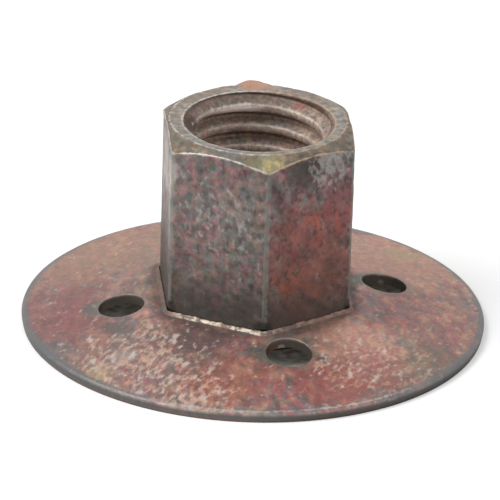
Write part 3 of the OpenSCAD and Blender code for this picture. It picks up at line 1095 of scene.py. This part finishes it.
# A painted shade line under the back edge of the mouth
mouth_back_shade = n.math("MULTIPLY", n.ramp(z, top_z - 0.5, top_z - 0.15), n.ramp(y, 1.0, 4.0, 0.0, 0.75))
bore_color = n.mix(mouth_back_shade, bore_color, srgb(74, 50, 42))
bore_color = paint_patches(n, bore_color, place, [
    ((0.0, 6.5, 23.2), 6.5, srgb(104, 92, 84), 0.5),             # the first turn, at the back
    ((2.9, 7.1, 21.0), 1.0, srgb(160, 88, 88), 0.5),             # two red spots
    ((5.1, 6.0, 21.7), 0.9, srgb(160, 88, 84), 0.5),
    ((-7.7, 0.8, 22.0), 2.8, srgb(74, 46, 38), 0.85)])           # rust at the left of the mouth
grain = n.ramp(n.noise(place, 2.4, 2.0, 0.6), 0.3, 0.7, 0.72, 1.25)
bore_color = n.mix(1.0, bore_color, n.grey(grain), "MULTIPLY")
# Painted shade that deepens down the bore
bore_color = n.mix(n.ramp(n.attribute("bore_depth"), 0.0, 1.0, 0.0, 0.15), bore_color, PAINTED_SHADE)
color = n.mix(bore, color, bore_color)
print("with its bore:", len(n.tree.nodes), "nodes")

# %% [markdown]
# ### Painted shade near the seat, and bare edges
#
# A painted shade darkens the flats up from the seat, to an uneven height, standing in for the shade
# and the dark reflection of the disc there. Over that come the edges that handling keeps bare: grey
# steel down the long corners, and brighter steel round the turned end, browner on its right.
# Painted shade fills the gaps where the corners stand on the seat.

# %% Painted shade up from the seat
# Painted shade, darkest at the seat, for the shade and the disc's dark reflection on the flats
outside = n.math("SUBTRACT", 1.0, n.math("MAXIMUM", bore, n.attribute("top_face")))
low = n.wander(z, n.noise(place, 0.4, 3.0, 0.6), 8.0)
low = n.math("ADD", low, n.ramp(x, -1.0, 1.0, 0.0, 0.8))
seat_shade = n.math("MULTIPLY", n.ramp(low, seat_z + 0.5, seat_z + 8.5, 0.84, 0.0), outside)
color = n.mix(seat_shade, color, n.mix(n.ramp(x, -1.0, 1.0), PAINTED_SHADE, srgb(72, 59, 52)))
print("with its grime:", len(n.tree.nodes), "nodes")

# %% Bare edges, and painted shade in the gaps under the corners
on_end = n.ramp(z, top_z - 1.6, top_z - 0.8)
bared = use(n, bared_edge, vector=place, nearness=n.attribute("edge_wear"),
            amount=n.ramp(on_end, 0.0, 1.0, 0.5, 0.75))["Mask"]
end_edge = n.mix(n.ramp(x, -0.5, 2.0), srgb(212, 208, 202), srgb(190, 160, 132))
color = n.mix(bared, color, n.mix(on_end, srgb(132, 138, 130), end_edge))
# Painted shade in the gaps where the corners stand on the seat
GAP_SHADE = srgb(30, 27, 24)
corner_feet = [
    (hexagon_corner_r * math.cos(a), hexagon_corner_r * math.sin(a), seat_z + 0.5)
    for a in (FRONT, FRONT - 2 * HALF_SIDE, FRONT + 2 * HALF_SIDE)]
corner_gap_shade = paint_patches(n, BLACK, place, [(foot, 1.1, WHITE, 0.85) for foot in corner_feet])
color = n.mix(corner_gap_shade, color, GAP_SHADE)
print("with its edges:", len(n.tree.nodes), "nodes")

# %% [markdown]
# ### One painted highlight on a crest
#
# A painted highlight lies along the lower edge of the first crest, at the back. It is a narrow
# band of height, cut out of a soft patch, and only on the crest itself.

# %% Painted highlight on the first crest
crest_highlight = use(n, soft_patch, vector=place, centre=(-1.6, 6.7, 21.2), radius=3.2,
             raggedness=0.2)["Mask"]
crest_highlight = n.math("MULTIPLY", crest_highlight, n.math("MULTIPLY", bore, n.ramp(crest, 0.6, 0.9)))
lower_edge = n.math("MULTIPLY", n.ramp(z, 20.2, 20.8), n.ramp(z, 21.55, 21.95, 1.0, 0.0))
crest_highlight = n.math("MULTIPLY", crest_highlight, lower_edge)
color = n.mix(n.math("MULTIPLY", crest_highlight, 0.9), color, srgb(238, 222, 216))
print("with its polish:", len(n.tree.nodes), "nodes")

# %% [markdown]
# ### How the sleeve shines
#
# The film lets the metal show through, so it is half metallic. Bloom is dust, which is duller and
# hides the metal, the painted shade near the seat is made as dull, and bared steel is the
# smoothest.
# The bore is duller than the flats. The cells and the specks stand up by less than a tenth of a
# millimetre, which a bump is enough for.

# %% Put the sleeve's finish together
n.feed(shader.inputs["Base Color"], color)
matt = n.math("MAXIMUM", n.math("MULTIPLY", bloom["Mask"], outside), seat_shade)
n.feed(shader.inputs["Metallic"], n.ramp(matt, 0.0, 1.0, 0.5, 0.2))
roughness = n.math("MULTIPLY_ADD", bared, -0.1, n.ramp(matt, 0.0, 1.0, 0.48, 0.7))
roughness = n.math("MULTIPLY_ADD", bore, 0.12, roughness)
n.feed(shader.inputs["Roughness"], roughness)
height = n.math("ADD", film["Height"], bloom["Height"])
bump = n.add("ShaderNodeBump", {"Height": height, "Strength": 0.6, "Distance": 0.09 * MM})
n.feed(shader.inputs["Normal"], bump.outputs[0])
sleeve.data.materials.append(material)
print("material", material.name, "with", len(n.tree.nodes), "nodes")

# %% Distance from the axis in a material
def distance_from_axis(n, place):
    """How far the place is from the nut's axis, at any height."""
    flat = n.vector_math("MULTIPLY", place, (1.0, 1.0, 0.0))[0]
    return n.vector_math("LENGTH", flat)["Value"]


# %% [markdown]
# ## Finish of the disc
#
# The disc has kept more of its rose and tan film. Cream bloom runs in short streaks over its
# front, greenish film is left near the right of the rim, and the rim, the holes' edges and the
# beads of the lip are worn bare. Painted shade darkens the seat against the lip, the rim's side
# and the holes' walls.
#
# The film is the sleeve's node group with other colours. Its cells are drawn out a little, from
# front to back, as the grain of rolled sheet is, and they are calmer at the left and the right.

# %% Film on the disc
material, n, shader, place = new_material("worn chromate on the disc")
x, y, z = n.add("ShaderNodeSeparateXYZ", {0: place}).outputs[:3]
away = distance_from_axis(n, place)
rolled = stretched(n, place, (0.0, 0.0, 0.0), (1.0, 1.7, 1.0))
calm_left, calm_right = n.ramp(x, -18.0, -9.0, 0.95, 1.5), n.ramp(x, 6.0, 13.0, 1.5, 1.25)
film = use(n, mottled_film, vector=rolled, base=srgb(150, 119, 112), rose=srgb(172, 98, 102),
           green=srgb(126, 122, 108), tan=srgb(182, 144, 122), slate=srgb(122, 112, 114),
           amount=n.ramp(x, -18.0, -9.0, 0.55, 0.79),
           contrast=n.math("MINIMUM", calm_left, calm_right), drift=0.5, cell_scale=1.2)
print("film on the disc:", len(n.tree.nodes), "nodes")

# %% [markdown]
# ### Stains on the disc
#
# Use has left larger stains on the film: tan behind the sleeve, plum and grey at the left, red in
# front, olive at the right. Each hole has a grey-green halo at its left. One dark patch in front
# of the lip is painted shade instead. A stain is a soft patch, so each can be moved or taken away
# by itself.

# %% Patches on the disc
color = paint_patches(n, film["Color"], place, [
    ((-13.0, 14.0, 2.0), 12.0, srgb(166, 129, 105), 0.6),        # tan, rear left
    ((15.0, 10.0, 2.0), 10.0, srgb(190, 143, 122), 0.65),        # tan, rear right
    ((17.5, 12.5, 2.0), 2.5, srgb(168, 154, 112), 0.5),          # olive in it
    ((-20.5, -2.0, 2.0), 8.5, srgb(124, 76, 78), 0.66),          # plum, left
    ((-19.0, 7.0, 1.8), 4.0, srgb(158, 112, 100), 0.4),
    ((-12.2, 1.5, 3.2), 2.4, srgb(110, 98, 90), 0.5),            # grey by the lip, left
    ((-21.8, -9.5, 0.6), 2.6, srgb(98, 104, 106), 0.6),          # grey on the rim, left
    ((-4.5, -18.5, 2.0), 5.0, srgb(170, 92, 76), 0.5),           # red, front left
    ((-7.0, -11.0, 3.0), 5.0, srgb(98, 84, 84), 0.7),            # painted shade in front of the lip
    ((-13.5, -14.0, 2.0), 8.0, srgb(128, 98, 94), 0.4),
    ((12.0, -19.5, 0.5), 4.5, srgb(106, 92, 88), 0.58),          # dark on the rim, front right
    ((-14.6, -12.6, 1.8), 1.7, srgb(186, 190, 186), 0.25),       # pale spot, front left
    ((-17.4, -15.2, 0.9), 2.0, srgb(184, 160, 114), 0.45),       # yellow on the rim beyond it
    ((18.0, -14.5, 1.0), 5.5, srgb(104, 100, 86), 0.65),         # olive, right
    ((9.0, -10.5, 2.0), 5.0, srgb(194, 150, 132), 0.6),          # pale pink, front right
    ((18.0, -4.0, 2.0), 8.0, srgb(162, 94, 88), 0.3),            # red, right
    ((10.3, -16.0, 1.5), 5.0, srgb(156, 100, 90), 0.6),          # red, front right
    ((6.5, -19.5, 1.0), 5.0, srgb(160, 88, 76), 0.6),
    ((-14.8, -6.8, 2.2), 2.3, srgb(98, 94, 88), 0.75),           # smudge in front of the left hole
    *[((hole_x - 2.6, hole_y, 2.8), 2.1, srgb(92, 99, 93), 0.85)
      for hole_x, hole_y in hole_centres]])
print("with its stains:", len(n.tree.nodes), "nodes")

# %% [markdown]
# ### Bloom and grain on the disc
#
# The bloom gathers in three drifts in front and is thin elsewhere. It is cream in some places
# and peach in others, as more or less of the film shows through. A fine grain then darkens and
# lightens everything by a tenth, because worn plating is never smooth to the eye.

# %% Bloom and grain on the disc
streaky = stretched(n, place, (0.0, 0.0, 60.0), (1.7, 1.0, 1.0))
drifts = paint_patches(n, shade(0.26), place, [
    ((-13.5, -14.0, 2.0), 8.5, shade(0.85), 0.95),
    ((-8.0, -21.0, 1.0), 5.0, shade(0.9), 0.9),
    ((11.0, -16.0, 1.0), 7.5, shade(0.72), 0.9)])
bloom = use(n, pale_bloom, vector=place, streak_vector=streaky, amount=drifts, speck_scale=1.7)
peach = n.ramp(n.noise(place, 0.9), 0.42, 0.58)
bloom_tint = n.mix(peach, srgb(212, 198, 186), srgb(205, 166, 143))
color = n.mix(n.math("MULTIPLY", bloom["Mask"], 0.72), color, bloom_tint)
grain = n.ramp(n.noise(place, 2.6, 2.0, 0.6), 0.3, 0.7, 0.9, 1.1)
color = n.mix(1.0, color, n.grey(grain), "MULTIPLY")
print("with its bloom:", len(n.tree.nodes), "nodes")

# %% [markdown]
# ### Shade by the lip, dirt by the holes, and the lip itself
#
# A painted shade darkens the corner between lip and seat, and a grey ring of dirt lies round each
# hole. Both follow distances that the mesh carries, with noise to make their edges uneven. The
# lip's beads are bared in places: cream in front and browner elsewhere, and painted darker at the
# left as painted shade.

# %% Painted shade by the lip, and dirt round the holes
near_lip = n.wander(n.attribute("lip_gap"), n.noise(place, 0.6, 3.0, 0.6), 2.4)
# Painted shade on the seat beside the lip
seat_shade = n.ramp(near_lip, 0.4, 2.0, 0.68, 0.0)
color = n.mix(seat_shade, color, srgb(84, 72, 66))
ring = n.wander(n.attribute("hole_gap"), n.noise(place, 0.8, 3.0), 1.6)
color = n.mix(n.ramp(ring, 0.1, 1.1, 0.4, 0.0), color, srgb(118, 112, 106))
print("with its dirt:", len(n.tree.nodes), "nodes")

# %% Beads of the lip
cream = use(n, soft_patch, vector=place, centre=(-4.4, -9.3, 3.8), radius=6.2,
            raggedness=0.3)["Mask"]
# The lip is painted darker at the left, as painted shade
lip_color = n.mix(n.ramp(x, -10.4, -8.8), srgb(104, 84, 76), srgb(152, 122, 110))
lip_color = n.mix(cream, lip_color, srgb(232, 218, 198))
rubbed = n.ramp(n.noise(place, 1.5, 2.0, 0.6), 0.44, 0.62, 0.12, 0.9)
color = n.mix(n.math("MULTIPLY", n.attribute("lip"), rubbed), color, lip_color)
print("with its lip:", len(n.tree.nodes), "nodes")

# %% [markdown]
# ### The rim
#
# The rolled edge is worn to steel, bright in front and painted duller towards both sides as
# painted shade, where a grey band lies along it. The rim's own side is painted dark as painted
# shade: brown at the foot and blue-grey above, lighter on the left, which faces the lamp.

# %% Bare edges and the rim
bared = use(n, bared_edge, vector=place, nearness=n.attribute("edge_wear"), amount=0.75)["Mask"]
# Bare steel on the rim, painted duller at both sides as painted shade
shaded_rim_edge = n.mix(n.ramp(x, -16.0, -8.0), srgb(104, 114, 116), srgb(200, 200, 198))
shaded_rim_edge = n.mix(n.ramp(x, 12.0, 18.0), shaded_rim_edge, srgb(112, 112, 108))
color = n.mix(bared, color, n.mix(n.ramp(away, 18.0, 20.0), srgb(124, 122, 116), shaded_rim_edge))
band_strength = n.ramp(n.math("ABSOLUTE", x), 8.0, 18.0, 0.2, 0.72)
rim_band = n.math("MULTIPLY", n.ramp(away, disc_r - 0.95, disc_r - 0.3), band_strength)
color = n.mix(rim_band, color, srgb(102, 108, 110))
print("with its rim:", len(n.tree.nodes), "nodes")

# %% Painted shade on the side of the rim
side = n.math("MULTIPLY", n.ramp(z, 0.55, 0.95, 0.9, 0.0), n.ramp(away, disc_r - 0.9, disc_r - 0.6))
up_side = n.ramp(z, 0.2, 0.6)
right_rim_shade = n.mix(up_side, srgb(74, 65, 60), srgb(74, 79, 79))
left_rim_shade = n.mix(up_side, srgb(114, 97, 92), srgb(86, 95, 96))
color = n.mix(side, color, n.mix(n.ramp(x, -6.0, 6.0), left_rim_shade, right_rim_shade))
print("with the rim's side:", len(n.tree.nodes), "nodes")

# %% [markdown]
# ### Inside the holes
#
# The holes' walls are painted a dark grey-brown, as painted shade. The front hole has a rusty
# spot, and it and the right hole each have one painted glint, a bright fleck of bare metal.

# %% Painted shade and glints inside the holes
hole_shade_rust_and_glints = paint_patches(n, srgb(98, 92, 83), place, [
    ((0.4, -13.0, 2.4), 1.8, srgb(112, 74, 56), 0.8),
    # Two painted glints
    ((1.8, -12.0, 2.4), 0.45, srgb(172, 160, 144), 0.9),
    ((14.2, 4.7, 1.9), 0.45, srgb(168, 158, 146), 0.9)])
color = n.mix(n.math("MULTIPLY", n.attribute("in_hole"), 0.9), color, hole_shade_rust_and_glints)
print("with its holes:", len(n.tree.nodes), "nodes")

# %% [markdown]
# ### How the disc shines
#
# It shines as the sleeve does, half metallic where the film is clean and dull where bloom or
# the painted shade by the lip covers it. Its relief is flatter, because sheet is rolled smooth
# before it is plated.

# %% Put the disc's finish together
n.feed(shader.inputs["Base Color"], color)
matt = n.math("MAXIMUM", bloom["Mask"], seat_shade)
n.feed(shader.inputs["Metallic"], n.ramp(matt, 0.0, 1.0, 0.5, 0.15))
roughness = n.math("MULTIPLY_ADD", bared, -0.12, n.ramp(matt, 0.0, 1.0, 0.46, 0.72))
n.feed(shader.inputs["Roughness"], roughness)
height = n.math("MULTIPLY_ADD", bloom["Height"], 1.4, film["Height"])
bump = n.add("ShaderNodeBump", {"Height": height, "Strength": 0.45, "Distance": 0.06 * MM})
n.feed(shader.inputs["Normal"], bump.outputs[0])
disc.data.materials.append(material)
print("material", material.name, "with", len(n.tree.nodes), "nodes")

# %% [markdown]
# ## Floor and background
#
# The nut stands on a plain white floor in front of a white world. The floor's own colour is
# pale grey-white, and a little light that only the camera sees lifts it to white, so the lamps
# don't have to. Under the disc, where the floor shows through the holes, only a small and
# mottled share of that light is left, and the floor is painted a little darker and yellower, as
# painted shade.

# %% Floor
FLOOR_REACH = 4.0                    # metres from the middle to an edge
FLOOR_DROP = 0.00002                 # metres below the plane that the nut stands on
floor_mesh = bpy.data.meshes.new("floor")
signs = ((-1, -1), (1, -1), (1, 1), (-1, 1))
floor_corners = [(x_sign * FLOOR_REACH, y_sign * FLOOR_REACH, 0) for x_sign, y_sign in signs]
floor_mesh.from_pydata(floor_corners, [], [(0, 1, 2, 3)])
floor = bpy.data.objects.new("floor", floor_mesh)
bpy.context.scene.collection.objects.link(floor)
floor.location.z = -FLOOR_DROP
print("floor", 2 * FLOOR_REACH, "m across")

# %% White that only the camera sees
material, n, shader, place = new_material("white floor")
LIFT = 0.25
from_axis = distance_from_axis(n, place)
seen = n.add("ShaderNodeLightPath").outputs["Is Camera Ray"]
lift_under = n.ramp(n.noise(place, 1.2, 3.0, 0.6), 0.35, 0.65, 0.02, 0.16)
lift = n.ramp(from_axis, disc_r - 2.0, disc_r - 0.5, lift_under, 1.0)
clear_of_disc = n.ramp(from_axis, disc_r - 2.0, disc_r - 0.5)
open_floor = n.mix(n.ramp(n.noise(place, 0.02), 0.3, 0.7), shade(0.86), shade(0.88))
n.feed(shader.inputs["Base Color"], n.mix(clear_of_disc, (0.80, 0.78, 0.70, 1), open_floor))
n.feed(shader.inputs["Roughness"], 0.9)
n.feed(shader.inputs["Specular IOR Level"], 0.1)
n.feed(shader.inputs["Emission Color"], n.mix(clear_of_disc, (1, 0.98, 0.84, 1), WHITE))
lift = n.math("MULTIPLY", n.math("MULTIPLY", lift, seen), LIFT)
n.feed(shader.inputs["Emission Strength"], lift)
floor_mesh.materials.append(material)
print("material", material.name, "with", len(n.tree.nodes), "nodes")

# %% World
WORLD_LEVEL = 0.55
world = bpy.data.worlds.new("white studio")
bpy.context.scene.world = world
world.use_nodes = True
world.node_tree.nodes.clear()
n = Nodes(world.node_tree)
path = n.add("ShaderNodeLightPath").outputs
through = n.math("MAXIMUM", path["Is Glossy Ray"], path["Is Transmission Ray"])
strength = n.ramp(n.math("MAXIMUM", path["Is Camera Ray"], through), 0.0, 1.0, WORLD_LEVEL, 1.0)
background = n.add("ShaderNodeBackground", {"Color": WHITE, "Strength": strength})
n.add("ShaderNodeOutputWorld", {"Surface": background.outputs[0]})
print("world level", WORLD_LEVEL)

# %% [markdown]
# ## Light
#
# One large soft lamp stands high on the left and a weaker one on the right. The left side of the
# sleeve is then lighter than the right, the thread's roots fall into shade, and the total on a
# flat surface is about the level at which a colour looks as it was written.

# %% Lamps
def direction_towards(turn, height):
    """From the nut out, turned from the front towards the left and raised, in radians."""
    return Vector((-math.sin(turn) * math.cos(height), -math.cos(turn) * math.cos(height),
                   math.sin(height)))


def aimed_back(towards):
    """The turn that makes a lamp or a camera look back along a direction."""
    return (-towards).to_track_quat("-Z", "Y")


middle = Vector([(low + high) / 2 for low, high in zip(*cad_box)])


def lamp(name, turn, height, distance, side, power):
    """A square lamp aimed at the nut: degrees, metres and watts."""
    data = bpy.data.lights.new(name, "AREA")
    data.shape, data.size, data.energy = "SQUARE", side, power
    towards = direction_towards(math.radians(turn), math.radians(height))
    light = bpy.data.objects.new(name, data)
    light.location = middle + towards * distance
    light.rotation_euler = aimed_back(towards).to_euler()
    bpy.context.scene.collection.objects.link(light)
    print(name, "at", [round(value, 3) for value in light.location])


lamp("key", 75, 48, 0.8, 0.45, 3.9)
lamp("fill", -50, 35, 0.9, 0.5, 1.0)

# %% [markdown]
# ## Camera
#
# A long lens looks down on the nut from the front, almost along a corner of the hexagon, and is
# turned a little about its own axis.

# %% Camera
LOOK_DOWN, LOOK_ROUND, ROLL = math.radians(24.7), math.radians(6.14), math.radians(1.79)
TARGET = (-0.52, 0.056, 8.11)
CAMERA_DISTANCE = 542.2
camera_data = bpy.data.cameras.new("camera")
camera_data.sensor_width = 36
camera_data.lens = 369
camera_data.clip_start, camera_data.clip_end = 0.05, 20
camera = bpy.data.objects.new("camera", camera_data)
bpy.context.scene.collection.objects.link(camera)
towards = direction_towards(LOOK_ROUND, LOOK_DOWN)
camera.location = Vector(TARGET) * MM + towards * CAMERA_DISTANCE * MM
aim = aimed_back(towards).to_matrix()
camera.rotation_euler = (aim @ Matrix.Rotation(ROLL, 3, "Z")).to_euler()
bpy.context.scene.camera = camera
bpy.context.scene.view_settings.view_transform = "Standard"
print("camera at", [round(value, 3) for value in camera.location])
